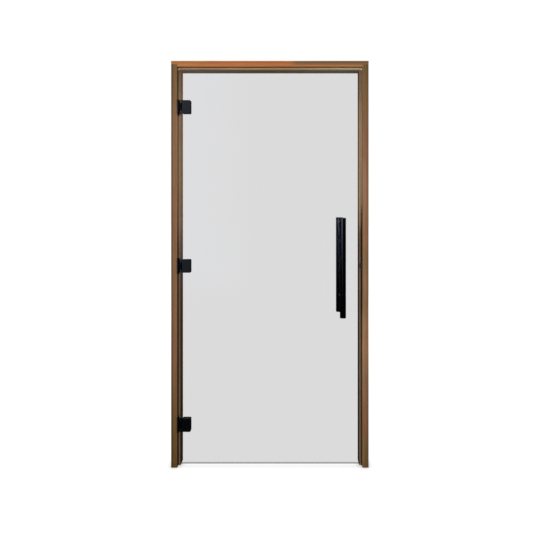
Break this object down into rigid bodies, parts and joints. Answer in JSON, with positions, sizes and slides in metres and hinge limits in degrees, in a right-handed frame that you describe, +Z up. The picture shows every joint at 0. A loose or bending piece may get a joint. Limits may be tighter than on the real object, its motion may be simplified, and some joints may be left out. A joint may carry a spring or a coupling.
{
  "type": "glass sauna door with frame",
  "caption": "Frameless glass door leaf on black clamp hinges in a cedar frame, with a round pull bar on each side and a magnetic catch; opens outwards.",
  "frame": {"origin": "foot of the hinge jamb's outer face, at the middle of the frame's depth, on floor level", "axes": "+X from the hinge side to the latch side, +Y from the outside, where the leaf opens to, into the hot room, +Z up"},
  "size_m": [0.992, 0.205, 2.043],
  "materials": {
    "cedar": "oiled, satin",
    "glass": "clear toughened, polished edges",
    "black_coat": "matt black powder coat",
    "black_screw": "black, satin",
    "steel": "satin",
    "gasket": "matt",
    "nylon": "matt"
  },
  "bodies": {
    "frame": {"hinge_jamb": "cedar", "latch_jamb": "cedar", "head_jamb": "cedar", "hinge_side_stop": "cedar", "latch_side_stop": "cedar", "head_stop": "cedar", "bottom_hinge_jamb_leaf": "black_coat", "middle_hinge_jamb_leaf": "black_coat", "top_hinge_jamb_leaf": "black_coat", "hinge_leaf_screws": "black_screw", "hinge_washers": "nylon", "head_screws": "steel", "catch_plate": "black_coat", "catch_plate_screws": "black_screw", "catch_magnet": "steel"},
    "leaf": {"glass_panel": "glass", "bottom_hinge_front_clamp": "black_coat", "middle_hinge_front_clamp": "black_coat", "top_hinge_front_clamp": "black_coat", "bottom_hinge_back_clamp": "black_coat", "middle_hinge_back_clamp": "black_coat", "top_hinge_back_clamp": "black_coat", "bottom_hinge_pin": "steel", "middle_hinge_pin": "steel", "top_hinge_pin": "steel", "front_clamp_gaskets": "gasket", "back_clamp_gaskets": "gasket", "clamp_screws": "black_screw", "outer_handle_tube": "black_coat", "inner_handle_tube": "black_coat", "outer_handle_end_caps": "black_coat", "inner_handle_end_caps": "black_coat", "outer_handle_posts": "black_coat", "inner_handle_posts": "black_coat", "handle_grommets": "nylon", "handle_studs": "steel", "catch_keeper": "steel"}
  },
  "joints": [
    {"name": "door_hinge", "type": "hinge", "parent": "frame", "child": "leaf", "pos_m": [0.049, -0.0395, 1.012], "axis": [0, 0, -1], "range_deg": [0, 100]}
  ]
}
